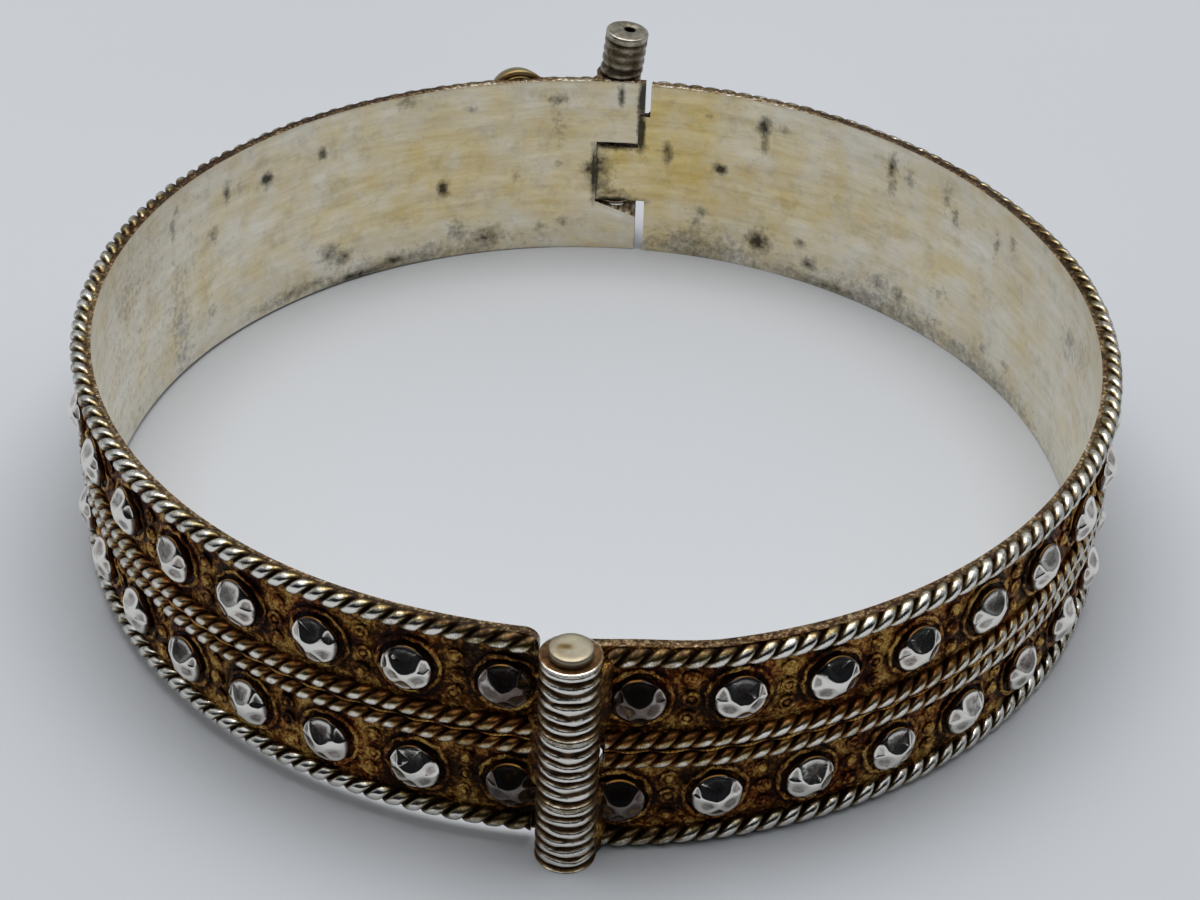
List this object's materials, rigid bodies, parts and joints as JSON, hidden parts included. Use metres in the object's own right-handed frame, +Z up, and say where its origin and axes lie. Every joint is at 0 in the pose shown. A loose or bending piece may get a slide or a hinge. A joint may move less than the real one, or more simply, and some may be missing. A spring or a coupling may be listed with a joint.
{
  "type": "hinged bangle",
  "caption": "Hinged silver bangle with twisted wires and rows of domed studs on its outer face, a ribbed hinge barrel and a clasp closed by a lift-out pin.",
  "frame": {"origin": "on the surface that the bangle lies on, at the centre of the wrist opening", "axes": "+Z up along the wrist axis, -Y towards the hinge and +Y towards the clasp, +X towards the half that swings open"},
  "size_m": [0.0611, 0.0641, 0.0162],
  "materials": {
    "band_silver": "old silver, gilt and darkened in the recesses, pale where it is worn",
    "bright_silver": "worn bright silver with fine scratches"
  },
  "bodies": {
    "left_half": {"left_half": "band_silver"},
    "right_half": {"right_half": "band_silver", "hinge_pin": "bright_silver"},
    "clasp_pin": {"clasp_pin": "bright_silver"}
  },
  "joints": [
    {"name": "hinge", "type": "hinge", "parent": "left_half", "child": "right_half", "pos_m": [0, -0.0303, 0], "axis": [0, 0, -1], "range_deg": [0, 120]},
    {"name": "clasp_pin_lift", "type": "slide", "parent": "left_half", "child": "clasp_pin", "axis": [0, 0, 1], "range_m": [0, 0.006]}
  ]
}
